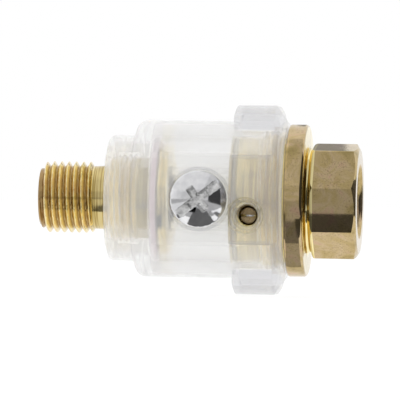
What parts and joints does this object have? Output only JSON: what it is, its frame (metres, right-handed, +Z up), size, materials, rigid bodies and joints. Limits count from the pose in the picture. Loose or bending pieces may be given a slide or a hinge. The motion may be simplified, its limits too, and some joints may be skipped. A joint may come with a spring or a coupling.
{
  "type": "in-line air line lubricator",
  "caption": "In-line mini lubricator for air tools: clear oil bowl between a male and a female brass end, with a filler screw and a metering screw.",
  "frame": {"origin": "middle of the object's box, on the axis of the air line", "axes": "+X along the air line, from the male outlet to the female inlet; +Z up; the filler screw faces -Y"},
  "size_m": [0.0582, 0.0342, 0.0342],
  "materials": {
    "brass": "yellow passivated, semi-bright",
    "clear_plastic": "clear, polished",
    "tube_plastic": "clear",
    "zinc": "bright zinc plated",
    "rubber": "matte",
    "nylon": "satin",
    "fibre": "lavender, satin",
    "acetal": "satin",
    "felt": "matte",
    "steel": "bright",
    "bronze": "sintered, porous"
  },
  "bodies": {
    "inlet": {"inlet_body": "brass", "bowl_o_ring": "rubber", "tube_o_ring_inlet": "rubber", "venturi_sleeve": "acetal", "venturi_o_ring": "rubber", "inlet_strainer": "bronze", "strainer_ring": "steel", "oil_wick": "felt", "oil_jet": "brass", "ball_retainer": "brass"},
    "tube": {"inner_tube": "tube_plastic"},
    "bowl": {"bowl": "clear_plastic", "outlet_nipple": "brass", "nipple_gasket": "fibre", "tube_o_ring_outlet": "rubber"},
    "filler_washer": {"filler_seal": "nylon"},
    "filler": {"filler_screw": "zinc"},
    "metering_ring": {"metering_o_ring": "rubber"},
    "metering": {"metering_screw": "brass"},
    "ball": {"check_ball": "steel"}
  },
  "joints": [
    {"name": "tube_slide", "type": "slide", "parent": "inlet", "child": "tube", "axis": [-1, 0, 0], "range_m": [0, 0.00452]},
    {"name": "bowl_turn", "type": "hinge", "parent": "tube", "child": "bowl", "pos_m": [0.01085, 0, 0], "axis": [-1, 0, 0], "range_deg": [0, 1620]},
    {"name": "filler_rise", "type": "slide", "parent": "bowl", "child": "filler_washer", "axis": [0, -1, 0], "range_m": [0, 0.006]},
    {"name": "filler_turn", "type": "hinge", "parent": "filler_washer", "child": "filler", "pos_m": [0.00125, -0.0136, 0], "axis": [0, -1, 0], "range_deg": [0, 2705]},
    {"name": "metering_rise", "type": "slide", "parent": "inlet", "child": "metering_ring", "axis": [0, -1, 0], "range_m": [-0.000375, 0.000375]},
    {"name": "metering_turn", "type": "hinge", "parent": "metering_ring", "child": "metering", "pos_m": [0.00985, -0.009, -0.00284], "axis": [0, -1, 0], "range_deg": [-272, 272]},
    {"name": "ball_slide", "type": "slide", "parent": "inlet", "child": "ball", "axis": [1, 0, 0], "range_m": [-0.0002, 0.0009]}
  ],
  "couplings": [
    {"joint": "tube_slide", "follows": "bowl_turn", "m_per_rad": 0.00015915},
    {"joint": "filler_turn", "follows": "filler_rise", "rad_per_m": 7854},
    {"joint": "metering_turn", "follows": "metering_rise", "rad_per_m": 12566}
  ]
}
